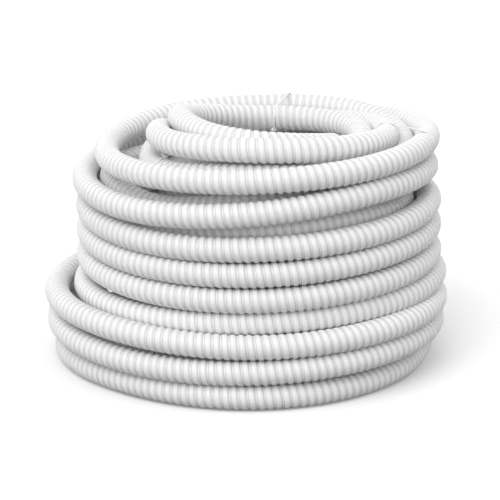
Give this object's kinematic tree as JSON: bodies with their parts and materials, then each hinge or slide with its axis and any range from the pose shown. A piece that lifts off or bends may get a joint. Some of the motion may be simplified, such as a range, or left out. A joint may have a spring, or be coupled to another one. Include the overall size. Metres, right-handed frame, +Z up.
{
  "type": "pool vacuum hose",
  "caption": "Coiled corrugated suction hose for cleaning pools and spas, with a turning cuff on one end and a fixed cuff on the other.",
  "frame": {"origin": "on the floor, under the middle of the whole part's box", "axes": "+Z up out of the floor; -Y towards the front of the coil; +Y towards the hose's outer end and its swivel cuff, which points along -X"},
  "size_m": [0.73, 0.8039, 0.4714],
  "materials": {
    "hose_plastic": "satin",
    "cuff_plastic": "satin",
    "collar_plastic": "satin",
    "seal_rubber": "matte",
    "tie_plastic": "gloss"
  },
  "bodies": {
    "hose": {"hose_lower_turns": "hose_plastic", "hose_upper_turns": "hose_plastic", "hose_top_turn": "hose_plastic", "hose_loose_loops": "hose_plastic", "hose_outer_tail": "hose_plastic", "hose_inner_tail": "hose_plastic", "swivel_collar": "collar_plastic", "fixed_cuff": "cuff_plastic", "tie_back": "tie_plastic", "tie_right": "tie_plastic", "tie_left": "tie_plastic"},
    "swivel_cuff": {"swivel_cuff": "cuff_plastic", "swivel_retaining_ring": "collar_plastic", "swivel_washer": "seal_rubber"}
  },
  "joints": [
    {"name": "cuff_swivel", "type": "hinge", "parent": "hose", "child": "swivel_cuff", "pos_m": [0.027, 0.373, 0.029], "axis": [-1, 0, 0], "continuous": true}
  ]
}
